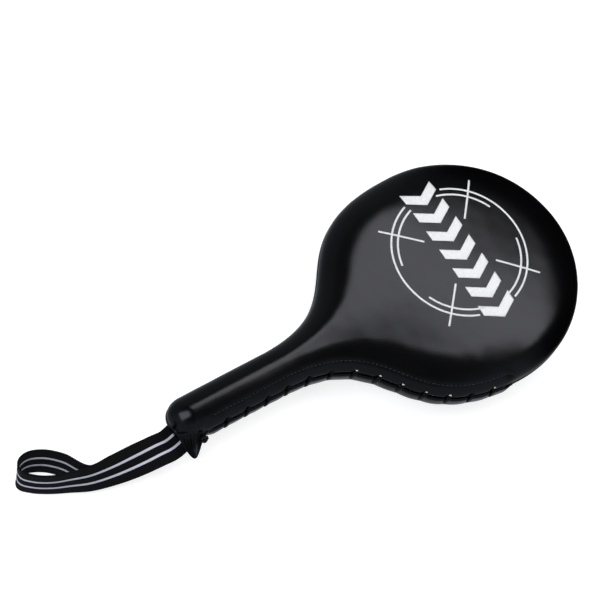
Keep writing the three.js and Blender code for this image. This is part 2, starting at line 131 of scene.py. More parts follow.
def makeStudio():
    world = bpy.data.worlds.new("studio")
    bpy.context.scene.world = world
    world.use_nodes = True
    nodes = world.node_tree.nodes
    sky = nodes["Background"]
    sky.inputs["Color"].default_value = (*studio["skyColour"], 1)
    split = addNode(nodes, "ShaderNodeSeparateXYZ")
    connect(addNode(nodes, "ShaderNodeTexCoord").outputs["Generated"], split.inputs["Vector"])
    x, y, z = (split.outputs[axis] for axis in "XYZ")
    side = addRange(nodes, z, *studio["ceilingZ"], studio["sideGlow"], studio["ceilingGlow"])
    far = addRange(nodes, y, *studio["farY"], 1.0, studio["farGlow"])
    flag = addRange(nodes, x, *studio["flagX"], 1.0, studio["flagGlow"])
    above = addMath(nodes, "MULTIPLY", addMath(nodes, "MULTIPLY", side, far), flag)
    ahead = addRange(nodes, x, *studio["aheadX"], 1.0, studio["floorGlowAhead"])
    upward = addRange(nodes, z, *studio["belowZ"], studio["floorGlow"], 0.0)
    below = addMath(nodes, "MULTIPLY", ahead, upward)
    connect(addMath(nodes, "ADD", above, below), sky.inputs["Strength"])
    makeLight("overheadSoftbox", studio["overhead"])
    makeLight("buttSoftbox", studio["buttSide"])
    bpy.context.scene.view_settings.view_transform = "Standard"
    print("studio")


def makeFloor():
    half, high = studio["floorHalf"], studio["wallHigh"]
    square = [(-half, -half), (half, -half), (half, half), (-half, half)]
    points = [(x, y, z) for z in (0, high) for x, y in square]
    faces = [(0, 1, 2, 3)] + [(k, (k + 1) % 4, (k + 1) % 4 + 4, k + 4) for k in range(4)]
    mesh = bpy.data.meshes.new("floor")
    mesh.from_pydata(points, [], faces)
    floor = bpy.data.objects.new("floor", mesh)
    floor.location.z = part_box("back_cover")[0].z - studio["floorDrop"]
    floor.visible_glossy = False  # the world's own lower half stands for it in reflections
    floor.visible_diffuse = False
    floor.visible_shadow = False
    material, _, shader = newMaterial("paleFloor", 0.85)
    shader.inputs["Base Color"].default_value = (*studio["floorColour"], 1)
    shader.inputs["Emission Color"].default_value = (1, 1, 1, 1)
    shader.inputs["Emission Strength"].default_value = studio["floorOwnLight"]
    mesh.materials.append(material)
    bpy.context.scene.collection.objects.link(floor)


# Nodes

def connect(source, socket):
    socket.id_data.links.new(source, socket)


def newMaterial(name, roughness, metallic=0.0):
    material = bpy.data.materials.new(name)
    material.use_nodes = True
    nodes = material.node_tree.nodes
    shader = nodes["Principled BSDF"]
    shader.inputs["Roughness"].default_value = roughness
    shader.inputs["Metallic"].default_value = metallic
    return material, nodes, shader


def addNode(nodes, kind, settings=None, values=None):
    node = nodes.new(kind)
    for key, value in (settings or {}).items():
        setattr(node, key, value)
    for key, value in (values or {}).items():
        node.inputs[key].default_value = value
    return node


def addNoise(nodes, place, scale, detail=3.0, roughness=0.5):
    node = addNode(nodes, "ShaderNodeTexNoise", values={
        "Scale": scale, "Detail": detail, "Roughness": roughness})
    connect(place, node.inputs["Vector"])
    return node.outputs["Fac"]


def addRange(nodes, value, low, high, toLow, toHigh):
    node = addNode(nodes, "ShaderNodeMapRange", values={
        "From Min": low, "From Max": high, "To Min": toLow, "To Max": toHigh})
    connect(value, node.inputs["Value"])
    return node.outputs["Result"]


def addMath(nodes, operation, first, second=0.0, third=None):
    node = addNode(nodes, "ShaderNodeMath", {"operation": operation})
    for socket, value in enumerate((first, second, third)):
        if value is None:
            continue
        if isinstance(value, (int, float)):
            node.inputs[socket].default_value = value
        else:
            connect(value, node.inputs[socket])
    return node.outputs["Value"]


def addMix(nodes, factor, first, second):
    node = addNode(nodes, "ShaderNodeMix", {"data_type": "RGBA"})
    connect(factor, node.inputs["Factor"])
    for socket, value in ((6, first), (7, second)):
        if isinstance(value, tuple):
            node.inputs[socket].default_value = (*value, 1)
        else:
            connect(value, node.inputs[socket])
    return node.outputs[2]


def addBump(nodes, shader, height, distance, before=None):
    node = addNode(nodes, "ShaderNodeBump", values={"Distance": distance})
    connect(height, node.inputs["Height"])
    if before is not None:
        connect(before, node.inputs["Normal"])
    connect(node.outputs["Normal"], shader.inputs["Normal"])
    return node.outputs["Normal"]


def objectPlace(nodes):
    return addNode(nodes, "ShaderNodeTexCoord").outputs["Object"]


# Materials

coverFinish = {
    "colour": (0.0011, 0.0011, 0.0014),
    "wornColour": (0.0022, 0.0022, 0.0028),
    "roughLow": 0.19,
    "roughHigh": 0.22,
    "gloss": 0.26,
    "tint": (0.88, 0.9, 1.0),
    "grainSize": 0.0011,
    "grainDepth": 0.000014,
    "grainGroove": 0.28,
    "warpScale": 420.0,
    "warpShare": 0.0006,
    "poreScale": 1900.0,
    "cloudScale": 26.0,
    "streakScale": 190.0,
    "streakDepth": 0.000012,
}
laceFinish = dict(coverFinish, colour=(0.0008, 0.0008, 0.001), wornColour=(0.002, 0.002, 0.0025),
                  roughLow=0.3, roughHigh=0.4, gloss=0.14, grainSize=0.0008)


def leatherMaterial(name, finish):
    material, nodes, shader = newMaterial(name, finish["roughLow"])
    place = objectPlace(nodes)
    cells = addNode(nodes, "ShaderNodeTexVoronoi", {"feature": "DISTANCE_TO_EDGE"},
                    {"Scale": 1 / finish["grainSize"], "Randomness": 1.0})
    warp = addNode(nodes, "ShaderNodeTexNoise", values={"Scale": finish["warpScale"], "Detail": 2.0})
    connect(place, warp.inputs["Vector"])
    moved = addNode(nodes, "ShaderNodeMix", {"data_type": "VECTOR"}, {"Factor": finish["warpShare"]})
    connect(place, moved.inputs[4])
    connect(warp.outputs["Color"], moved.inputs[5])
    connect(moved.outputs[1], cells.inputs["Vector"])
    pebble = addRange(nodes, cells.outputs["Distance"], 0.0, finish["grainGroove"], 0.0, 1.0)
    pores = addNoise(nodes, place, finish["poreScale"], 4.0, 0.6)
    cloudy = addNoise(nodes, place, finish["cloudScale"], 4.0, 0.55)
    streaks = addNoise(nodes, place, finish["streakScale"], 3.0, 0.6)
    tone = addRange(nodes, cloudy, 0.3, 0.72, 0.0, 1.0)
    rub = addMath(nodes, "MULTIPLY", tone, addRange(nodes, streaks, 0.35, 0.7, 0.35, 1.0))
    connect(addMix(nodes, rub, finish["colour"], finish["wornColour"]), shader.inputs["Base Color"])
    worn = addRange(nodes, rub, 0.0, 1.0, finish["roughHigh"], finish["roughLow"])
    connect(addMath(nodes, "MULTIPLY_ADD", pebble, -0.05, worn), shader.inputs["Roughness"])
    height = addMath(nodes, "MULTIPLY_ADD", pores, 0.35, pebble)
    fine = addBump(nodes, shader, height, finish["grainDepth"])
    addBump(nodes, shader, streaks, finish["streakDepth"], fine)
    shader.inputs["Specular IOR Level"].default_value = finish["gloss"]
    shader.inputs["Specular Tint"].default_value = (*finish["tint"], 1)
    return material


def foamMaterial(name, colour, shade, cellSize):
    material, nodes, shader = newMaterial(name, 0.95)
    place = objectPlace(nodes)
    cells = addNode(nodes, "ShaderNodeTexVoronoi", values={"Scale": 1 / cellSize})
    connect(place, cells.inputs["Vector"])
    soft = addNoise(nodes, place, 60.0)
    mixed = addMath(nodes, "MULTIPLY", cells.outputs["Distance"], soft)
    connect(addMix(nodes, addRange(nodes, mixed, 0.1, 0.5, 0.0, 1.0), colour, shade),
              shader.inputs["Base Color"])
    addBump(nodes, shader, cells.outputs["Distance"], 0.0004)
    return material


plainFinishes = {
    "plyBoard": {"colours": ((0.42, 0.25, 0.12), (0.62, 0.42, 0.22)), "noise": (18.0, 6.0, 0.65),
                 "stretch": (1.0, 14.0, 60.0), "tone": (0.35, 0.65), "rough": (0.5, 0.7), "depth": 0.0002},
    "rivetSteel": {"colours": ((0.5, 0.5, 0.52), (0.68, 0.68, 0.7)), "noise": (900.0, 4.0),
                   "tone": (0.0, 1.0), "rough": (0.24, 0.4), "depth": 0.00002, "metallic": 1.0},
    "whitePrint": {"colours": ((0.8, 0.8, 0.81), (0.92, 0.92, 0.93)), "noise": (700.0, 4.0, 0.6),
                   "tone": (0.35, 0.65), "rough": (0.34, 0.5), "depth": 0.00003},
}


def plainMaterial(name):
    finish = plainFinishes[name]
    material, nodes, shader = newMaterial(name, finish["rough"][0], finish.get("metallic", 0.0))
    stretch = addNode(nodes, "ShaderNodeMapping", values={"Scale": finish.get("stretch", (1, 1, 1))})
    connect(objectPlace(nodes), stretch.inputs["Vector"])
    mottle = addNoise(nodes, stretch.outputs["Vector"], *finish["noise"])
    tone = addRange(nodes, mottle, *finish["tone"], 0.0, 1.0)
    connect(addMix(nodes, tone, *finish["colours"]), shader.inputs["Base Color"])
    connect(addRange(nodes, mottle, 0.3, 0.7, *finish["rough"]), shader.inputs["Roughness"])
    addBump(nodes, shader, mottle, finish["depth"])
    return material


def threadMaterial():
    material, nodes, shader = newMaterial("blackThread", 0.55)
    place = objectPlace(nodes)
    twist = addNode(nodes, "ShaderNodeTexWave", {"wave_type": "BANDS", "bands_direction": "DIAGONAL"},
                    {"Scale": 520.0, "Distortion": 0.6})
    connect(place, twist.inputs["Vector"])
    connect(addMix(nodes, twist.outputs["Fac"], (0.003, 0.003, 0.004), (0.011, 0.011, 0.013)),
              shader.inputs["Base Color"])
    addBump(nodes, shader, twist.outputs["Fac"], 0.0001)
    return material


webbingFinish = {
    "ground": (0.0014, 0.0014, 0.0018),
    "groundLit": (0.005, 0.005, 0.006),
    "stripe": (0.86, 0.85, 0.94),
    "stripeShade": (0.62, 0.60, 0.72),
    "stripePlaces": (0.345, 0.655),
    "stripeHalf": 0.04,
    "ribPitch": 0.0016,
    "warpPitch": 0.0011,
    "weaveDepth": 0.00018,
    "sheen": 0.02,
    "gloss": 0.12,
}


def webbingMaterial(finish, length, width):
    material, nodes, shader = newMaterial("stripedWebbing", 0.8)
    split = addNode(nodes, "ShaderNodeSeparateXYZ")
    connect(addNode(nodes, "ShaderNodeTexCoord").outputs["UV"], split.inputs["Vector"])
    across, along = split.outputs["X"], split.outputs["Y"]
    stripe = None
    half = finish["stripeHalf"]
    for middle in finish["stripePlaces"]:
        away = addMath(nodes, "ABSOLUTE", addMath(nodes, "SUBTRACT", across, middle))
        near = addRange(nodes, away, half * 0.88, half * 1.04, 1.0, 0.0)
        stripe = near if stripe is None else addMath(nodes, "MAXIMUM", stripe, near)
    waves = []
    for place, size, pitch in ((along, length, finish["ribPitch"]), (across, width, finish["warpPitch"])):
        angle = addMath(nodes, "MULTIPLY", place, 2 * math.pi * size / pitch)
        waves.append(addMath(nodes, "SINE", angle))
    woven = addMath(nodes, "MULTIPLY", *waves)
    fuzz = addNoise(nodes, objectPlace(nodes), 1500.0, 3.0)
    light = addRange(nodes, addMath(nodes, "ADD", woven, fuzz), -0.6, 1.5, 0.0, 1.0)
    ground = addMix(nodes, light, finish["ground"], finish["groundLit"])
    silver = addMix(nodes, light, finish["stripeShade"], finish["stripe"])
    connect(addMix(nodes, stripe, ground, silver), shader.inputs["Base Color"])
    connect(addRange(nodes, stripe, 0.0, 1.0, 0.82, 0.45), shader.inputs["Roughness"])
    height = addMath(nodes, "MULTIPLY_ADD", fuzz, 0.5, woven)
    addBump(nodes, shader, height, finish["weaveDepth"])
    shader.inputs["Sheen Weight"].default_value = finish["sheen"]
    shader.inputs["Sheen Roughness"].default_value = 0.5
    shader.inputs["Specular IOR Level"].default_value = finish["gloss"]
    return material


# Meshes

def smoothFaces(mesh):
    mesh.polygons.foreach_set("use_smooth", [True] * len(mesh.polygons))


def makePiece(name, points, faces, material, uvs=None):
    mesh = bpy.data.meshes.new(name)
    mesh.from_pydata(np.asarray(points, float).tolist(), [], faces)
    if uvs is not None:
        layer = mesh.uv_layers.new(name="UVMap")
        corners = np.array([loop.vertex_index for loop in mesh.loops])
        layer.data.foreach_set("uv", np.asarray(uvs, float)[corners].ravel())
    mesh.validate()
    smoothFaces(mesh)
    mesh.materials.append(material)
    piece = bpy.data.objects.new(name, mesh)
    bpy.context.scene.collection.objects.link(piece)
    return piece


def weld(piece, distance=0.000005):
    work = bmesh.new()
    work.from_mesh(piece.data)
    bmesh.ops.remove_doubles(work, verts=work.verts, dist=distance)
    bmesh.ops.recalc_face_normals(work, faces=work.faces)
    work.to_mesh(piece.data)
    work.free()


def applyModifier(piece, kind, **settings):
    modifier = piece.modifiers.new(kind.lower(), kind)
    for key, value in settings.items():
        setattr(modifier, key, value)
    evaluated = piece.evaluated_get(bpy.context.evaluated_depsgraph_get())
    mesh = bpy.data.meshes.new_from_object(evaluated)
    piece.modifiers.clear()
    piece.data = mesh


def gridFaces(columnCount, rowCount, closed=False, start=0):
    faces = []
    for k in range(columnCount if closed else columnCount - 1):
        after = (k + 1) % columnCount
        for j in range(rowCount - 1):
            a = start + k * rowCount + j
            b = start + after * rowCount + j
            faces.append((a, b, b + 1, a + 1))
    return faces


def tubeFaces(count, ring, start=0, closed=False):  # capped unless closed
    faces = []
    for k in range(count if closed else count - 1):
        here = start + k * ring
        ahead = start + (k + 1) % count * ring
        for j in range(ring):
            after = (j + 1) % ring
            faces.append((here + j, here + after, ahead + after, ahead + j))
    if not closed:
        faces.append(tuple(start + j for j in range(ring))[::-1])
        faces.append(tuple(start + (count - 1) * ring + j for j in range(ring)))
    return faces


def runAlong(points):
    return np.concatenate([[0], np.cumsum(np.linalg.norm(np.diff(points, axis=0), axis=1))])


def smoothStep(low, high, value):
    t = np.clip((value - low) / (high - low), 0, 1)
    return t * t * (3 - 2 * t)


def bell(value, middle, width):
    return np.exp(-(((value - middle) / width) ** 2))


# The paddle's outline and its skin

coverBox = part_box("front_cover")
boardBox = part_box("core_board")
midZ = (boardBox[0].z + boardBox[1].z) / 2

paddle = {
    "buttX": coverBox[0].x,
    "tipX": coverBox[1].x,
    "headHalf": coverBox[1].y,
    "halfHigh": coverBox[1].z - midZ,
    "handleRadius": 0.017,
    "capLength": 0.019,
    "capRoundness": 0.85,
    "neckStart": -0.181,
    "neckPull": 0.107,
    "shoulderPull": 0.123,
    "rootPower": 2.2,
    "rimWidth": 0.037,
    "crown": 0.0052,
    "rimPower": 2.35,
    "leather": 0.0016,
}

edgeWork = {
    "laceStart": -0.2545,
    "laceEnd": -0.0315,
    "laceCount": 13,
    "hemStart": -0.250,
    "hemEnd": -0.011,
    "hemWidth": 0.0112,
    "seamShift": 0.0042,  # the slit lies this far up the front's side of the edge
    "proud": {1: 0.0015, -1: 0.0026},  # how far each hem stands out, front and back
    "proudFull": {1: 0.0, -1: 0.0075},  # full up to here from the slit, and gone at the end
    "proudEnd": {1: 0.0190, -1: 0.0180},
    "pinch": {1: 0.0003, -1: 0.0008},
    "pinchReach": {1: 0.0035, -1: 0.0100},
    "lipTuck": 0.0013,
    "gapLeast": 0.0003,
    "gapMost": 0.0009,
    "plainGap": 0.00015,
    "hemFadeIn": (-0.008, 0.004),
    "hemFadeOut": (-0.010, 0.004),
    "laceFade": (0.1, 0.6),  # in crossings, beyond the first and the last
}


def denseOutline(p):
    t = np.linspace(0, math.pi / 2, 160)[:-1]
    x = p["buttX"] + p["capLength"] * (1 - np.cos(t) ** p["capRoundness"])
    y = p["handleRadius"] * np.sin(t) ** p["capRoundness"]
    root = np.full_like(x, p["buttX"] + p["handleRadius"])
    parts = [(x, y, root)]
    x = np.linspace(p["buttX"] + p["capLength"], p["neckStart"], 200)[:-1]
    parts.append((x, np.full_like(x, p["handleRadius"]), x))
    t = np.linspace(0, 1, 500)[:-1]
    startX, r, half = p["neckStart"], p["handleRadius"], p["headHalf"]
    handles = [(startX, r), (startX + p["neckPull"], r), (-p["shoulderPull"], half), (0, half)]
    weights = [(1 - t) ** 3, 3 * (1 - t) ** 2 * t, 3 * (1 - t) * t ** 2, t ** 3]
    x = sum(w * h[0] for w, h in zip(weights, handles))
    y = sum(w * h[1] for w, h in zip(weights, handles))
    parts.append((x, y, startX * (1 - t) ** p["rootPower"]))
    t = np.linspace(0, math.pi / 2, 300)
    y = half * np.cos(t)
    y[-1] = 0
    parts.append((p["tipX"] * np.sin(t), y, np.zeros_like(t)))
    return [np.concatenate([part[i] for part in parts]) for i in range(3)]


def makeStations(p, spacing):
    x, y, root = denseOutline(p)
    run = np.concatenate([[0], np.cumsum(np.hypot(np.diff(x), np.diff(y)))])
    count = int(round(run[-1] / spacing)) + 1
    places = np.linspace(0, run[-1], count)
    sx, sy, sr = (np.interp(places, run, v) for v in (x, y, root))
    alongX, alongY = np.gradient(sx), np.gradient(sy)
    size = np.hypot(alongX, alongY)
    nx, ny = -alongY / size, alongX / size
    nx[0], ny[0], nx[-1], ny[-1] = -1, 0, 1, 0
    return {"x": sx, "y": sy, "nx": nx, "ny": ny, "root": sr, "run": places, "count": count}


def headShare(x):
    return smoothStep(paddle["neckStart"], 0, x)


def skinHeight(x, inward, u):
    share = headShare(x)
    thin = paddle["handleRadius"]
    high = thin + (paddle["halfHigh"] - paddle["crown"] - thin) * share
    wide = thin + (paddle["rimWidth"] - thin) * share
    power = 2 + (paddle["rimPower"] - 2) * share
    wide = np.where(share == 0, np.maximum(wide, inward[-1]), wide)  # the butt's corners roll all the way
    roll = 1 - np.minimum(inward / wide, 1)
    crown = paddle["crown"] * share * (1 - (1 - u) ** 2)
    return high * (1 - roll ** power) ** (1 / power) + crown


def ribCurve(st, i, samples=420):
    u = (1 - np.cos(np.linspace(0, math.pi, samples))) / 2
    startX, startY = st["x"][i], max(st["y"][i], 0)
    x = startX + (st["root"][i] - startX) * u
    y = startY * (1 - u)
    inward = u * math.hypot(startX - st["root"][i], startY)
    z = skinHeight(x, inward, u)
    arc = np.concatenate([[0], np.cumsum(np.sqrt(np.diff(x) ** 2 + np.diff(y) ** 2 + np.diff(z) ** 2))])
    return x, y, z, arc


# rows of points in mm from the cover's edge, close together at the hem, then the face's rows
edgeArcs = [0, .35, .8, 1.3, 1.9, 2.6, 3.4, 4.3, 5.3, 6.5, 7.8, 9.2, 10.7, 12.2, 13.5, 14.4, 14.9, 15.4,
            15.9, 16.4, 17.3, 18.8, 20.8]
faceRows = 34
fullRib = 0.0262  # a rib shorter than this has its edge rows drawn together


def skinGrid(st, starts):
    rows = len(edgeArcs) + faceRows
    grid = np.zeros((st["count"], rows, 3))
    arcs = np.zeros((st["count"], rows))
    for i in range(st["count"]):
        x, y, z, arc = ribCurve(st, i)
        shrink = min(1.0, arc[-1] / fullRib)
        near = starts[i] + np.array(edgeArcs) * mm * shrink
        places = np.concatenate([near, np.linspace(near[-1], arc[-1], faceRows + 1)[1:]])
        reach = np.abs(places)  # a negative place lies round the edge, on the other face
        grid[i] = np.stack([np.interp(reach, arc, x), np.interp(reach, arc, y),
                            np.sign(places) * np.interp(reach, arc, z)], axis=1)
        grid[i, -1, 1] = 0
        arcs[i] = places - starts[i]
    return grid, arcs


def ringOf(plain, laced):  # once round the outline: the plain side, then the laced side backwards
    return np.concatenate([plain, laced[1:-1][::-1]])


def gridNormals(grid):
    across = np.gradient(grid, axis=1)
    along = np.roll(grid, -1, axis=0) - np.roll(grid, 1, axis=0)
    normal = np.cross(along, across)
    normal /= np.maximum(np.linalg.norm(normal, axis=2, keepdims=True), 1e-12)
    if normal[..., 2].mean() < 0:
        normal = -normal
    normal[:, -1] = (0, 0, 1)
    return normal


stations = makeStations(paddle, 0.0014)
laceFrom, laceTo, hemFrom, hemTo = np.interp(
    [edgeWork[k] for k in ("laceStart", "laceEnd", "hemStart", "hemEnd")], stations["x"], stations["run"])
crossingRuns = np.linspace(laceFrom, laceTo, edgeWork["laceCount"] + 1)


def hemShare(run):
    begun = smoothStep(*(hemFrom + reach for reach in edgeWork["hemFadeIn"]), run)
    return begun * (1 - smoothStep(*(hemTo + reach for reach in edgeWork["hemFadeOut"]), run))


def lacePhase(run):
    return (run - crossingRuns[0]) / (crossingRuns[1] - crossingRuns[0])


def laceShare(run):
    phase = lacePhase(run)
    near, far = edgeWork["laceFade"]
    count = edgeWork["laceCount"]
    return smoothStep(-far, -near, phase) * (1 - smoothStep(count + near, count + far, phase))


def openShare(run):  # 0 where the lace pulls the hems together, 1 half way between
    return np.abs(np.sin(math.pi * lacePhase(run))) ** 0.7 * laceShare(run)


def slitPlace(run):
    return edgeWork["seamShift"] * hemShare(run)


def edgeFrame(run):  # outward and along the laced edge
    nx, ny = (float(np.interp(run, stations["run"], stations[k])) for k in ("nx", "ny"))
    out = Vector((nx, -ny, 0)).normalized()
    return out, Vector((-out.y, out.x, 0))


def ribPoint(run, place):  # on the laced side, place counted up from the middle plane
    i = min(max(int(np.searchsorted(stations["run"], run)), 1), stations["count"] - 1)
    t = (run - stations["run"][i - 1]) / (stations["run"][i] - stations["run"][i - 1])
    found = []
    for k in (i - 1, i):
        x, y, z, arc = ribCurve(stations, k, 160)
        found.append(np.array([np.interp(abs(place), arc, v) for v in (x, y, z)]))
    p = found[0] * (1 - t) + found[1] * t
    return Vector((p[0], -p[1], midZ + math.copysign(p[2], place)))


def ribNormal(run, place):
    across = ribPoint(run, place + 0.0004) - ribPoint(run, place - 0.0004)
    along = ribPoint(run + 0.001, place) - ribPoint(run - 0.001, place)
    normal = across.cross(along).normalized()
    out = edgeFrame(run)[0] + Vector((0, 0, place * 40))  # up or down with the place
    return normal if normal.dot(out) > 0 else -normal


def softNoise(points, size, seed):
    shift = Vector((seed * 7.3, seed * 3.1, seed * 5.7))
    flat = points.reshape(-1, 3)
    values = [noise.noise(Vector(p) / size + shift) for p in flat.tolist()]
    return np.array(values).reshape(points.shape[:-1])


lace = {
    "width": 0.0034,
    "thick": 0.0011,
    "lift": 0.0006,
    "inside": -0.0014,
    "holeArc": {1: 0.0028, -1: 0.0062},  # from the slit to the holes, front and back
    "narrowed": 0.6,  # share of its width in a hole
    "lean": (0.0008, 0.0018),  # a crossing slants by an amount in this range
}

coverShape = {
    "slowWave": 0.00028,
    "slowWaveSize": 0.045,
    "smallWave": 0.00007,
    "smallWaveSize": 0.011,
    "waveFade": (0.001, 0.006),
    "lipReach": 0.0014,
    "seamDip": 0.0011,
    "seamReach": 0.0024,
    "stitchDip": 0.0004,
    "stitchDipWidth": 0.0007,
    "holeDip": 0.0006,
    "holeDipWidth": 0.0016,
    "pucker": 0.00006,
    "puckerAt": 0.0085,
    "puckerWidth": 0.004,
    "cornerAt": (-0.266, -0.0175),
    "cornerFold": 0.0005,
    "foldCount": 9,
    "foldTurn": 1.2,
    "foldReach": 0.0085,
    "foldFade": 0.003,
}


def coverOffsets(grid, arc, run, laced, faceSign, seed):
    shape = coverShape
    run = run[:, None]
    laced = laced[:, None]
    hem = laced * hemShare(run)
    closed = laceShare(run) * (1 - openShare(run))
    proud = edgeWork["proud"][faceSign] * (
        1 - smoothStep(edgeWork["proudFull"][faceSign], edgeWork["proudEnd"][faceSign], arc))
    pinched = -edgeWork["pinch"][faceSign] * closed * np.exp(-((arc / edgeWork["pinchReach"][faceSign]) ** 4))
    tucked = -edgeWork["lipTuck"] * (1 - smoothStep(0, shape["lipReach"], arc))
    dip = -shape["stitchDip"] * bell(arc, edgeWork["hemWidth"], shape["stitchDipWidth"])
    holeDip = -shape["holeDip"] * closed ** 3 * bell(arc, lace["holeArc"][faceSign], shape["holeDipWidth"])
    ripple = np.cos(2 * math.pi * lacePhase(run)) * laceShare(run)
    pucker = -shape["pucker"] * ripple * bell(arc, shape["puckerAt"], shape["puckerWidth"])
    offset = hem * (proud + pinched + tucked + dip + holeDip + pucker)
    seam = -shape["seamDip"] * (1 - hem) * (1 - smoothStep(0, shape["seamReach"], arc))
    slow = shape["slowWave"] * softNoise(grid, shape["slowWaveSize"], seed)
    small = shape["smallWave"] * softNoise(grid, shape["smallWaveSize"], seed + 4)
    fade = smoothStep(*shape["waveFade"], arc)
    awayX = grid[..., 0] - shape["cornerAt"][0]
    awayY = grid[..., 1] - shape["cornerAt"][1]
    angle = np.arctan2(awayY, awayX) * shape["foldCount"] + shape["foldTurn"]
    folds = np.cos(angle) * np.exp(-((np.hypot(awayX, awayY) / shape["foldReach"]) ** 2))
    folds = shape["cornerFold"] * folds * smoothStep(0.0, shape["foldFade"], arc) * laced
    return offset + seam + (slow + small) * fade + folds


def coverPiece(name, faceSign, seed, material):
    run = stations["run"]
    gap = edgeWork["gapLeast"] + (edgeWork["gapMost"] - edgeWork["gapLeast"]) * openShare(run)
    hem = hemShare(run)
    starts = faceSign * slitPlace(run) + gap / 2 * hem + edgeWork["plainGap"] * (1 - hem)
    plain, plainArcs = skinGrid(stations, np.full(stations["count"], edgeWork["plainGap"]))
    lacedHalf, lacedArcs = skinGrid(stations, starts)
    grid = ringOf(plain, lacedHalf * np.array((1, -1, 1)))
    arcs = ringOf(plainArcs, lacedArcs)
    runs = ringOf(run, run)
    laced = ringOf(np.zeros(stations["count"]), np.ones(stations["count"]))
    grid = grid + gridNormals(grid) * coverOffsets(grid, arcs, runs, laced, faceSign, seed)[..., None]
    lowest = np.where(laced * hemShare(runs) > 0, -1.0, 0.0001)
    grid[..., 2] = midZ + faceSign * np.maximum(grid[..., 2], lowest[:, None])
    piece = makePiece(name, grid.reshape(-1, 3), gridFaces(*grid.shape[:2], closed=True), material)
    weld(piece)
    outwardFaces(piece, faceSign)
    applyModifier(piece, "SOLIDIFY", thickness=paddle["leather"], offset=-1, use_even_offset=False)
    smoothFaces(piece.data)
    return piece


def treeOf(piece):
    mesh = piece.data
    return BVHTree.FromPolygons([v.co for v in mesh.vertices], [tuple(f.vertices) for f in mesh.polygons])


def outwardFaces(piece, faceSign):
    mesh = piece.data
    total = sum(face.normal.z * face.area for face in mesh.polygons)
    if total * faceSign < 0:
        mesh.flip_normals()


def finishPiece(piece, body, slot, *nodes):
    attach(piece, body)
    if nodes:
        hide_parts(*nodes)
    return piece


def makeCovers():
    leather = leatherMaterial("coverLeather", coverFinish)
    front = coverPiece("front_cover_leather", 1, 1, leather)
    back = coverPiece("back_cover_leather", -1, 9, leather)
    finishPiece(front, "paddle", "cover_leather", "front_cover")
    finishPiece(back, "paddle", "cover_leather", "back_cover")
    print("covers", len(front.data.polygons), len(back.data.polygons))
    return front, back


# Lace

def centripetal(points, samples):  # a smooth curve through the points; further columns go along
    points = [np.array(p, float) for p in points]
    points = [2 * points[0] - points[1], *points, 2 * points[-1] - points[-2]]
    result = []
    for i in range(1, len(points) - 2):
        a, b, c, d = points[i - 1:i + 3]
        t0 = 0.0
        t1 = t0 + np.linalg.norm((b - a)[:3]) ** 0.5 + 1e-9
        t2 = t1 + np.linalg.norm((c - b)[:3]) ** 0.5 + 1e-9
        t3 = t2 + np.linalg.norm((d - c)[:3]) ** 0.5 + 1e-9
        for t in np.linspace(t1, t2, samples, endpoint=False):
            ab = (t1 - t) / (t1 - t0) * a + (t - t0) / (t1 - t0) * b
            bc = (t2 - t) / (t2 - t1) * b + (t - t1) / (t2 - t1) * c
            cd = (t3 - t) / (t3 - t2) * c + (t - t2) / (t3 - t2) * d
            abc = (t2 - t) / (t2 - t0) * ab + (t - t0) / (t2 - t0) * bc
            bcd = (t3 - t) / (t3 - t1) * bc + (t - t1) / (t3 - t1) * cd
            result.append((t2 - t) / (t2 - t1) * abc + (t - t1) / (t2 - t1) * bcd)
    result.append(points[-2])
    return np.array(result)


def ribbonMesh(name, path, sideways, width, thick, section, material):
    tangents = np.gradient(path, axis=0)
    tangents /= np.linalg.norm(tangents, axis=1, keepdims=True)
    side = sideways - tangents * (sideways * tangents).sum(1, keepdims=True)
    side /= np.maximum(np.linalg.norm(side, axis=1, keepdims=True), 1e-9)
    face = np.cross(side, tangents)
    points = []
    for across, through in section:
        points.append(path + side * (across * width / 2) + face * (through * thick / 2))
    grid = np.stack(points, axis=1)
    return makePiece(name, grid.reshape(-1, 3), tubeFaces(*grid.shape[:2]), material)


def laceSection(steps=5):
    upper = []
    for i in range(steps + 1):
        across = -1 + 2 * i / steps
        upper.append((across * 0.96, 0.55 + 0.45 * math.sqrt(max(0, 1 - (across * 0.98) ** 2))))
    lower = [(a, -t) for a, t in reversed(upper)]
    return upper + lower


def hemLift(run, place, trees):  # how far the sewn hem's surface stands off the plain skin
    point, normal = ribPoint(run, place), ribNormal(run, place)
    reach, beyond = 0.012, 0.002
    gaps = [tree.ray_cast(point + normal * reach, -normal, reach + beyond)[3] for tree in trees]
    gaps = [gap for gap in gaps if gap is not None]
    return point, normal, reach - min(gaps) if gaps else 0.0


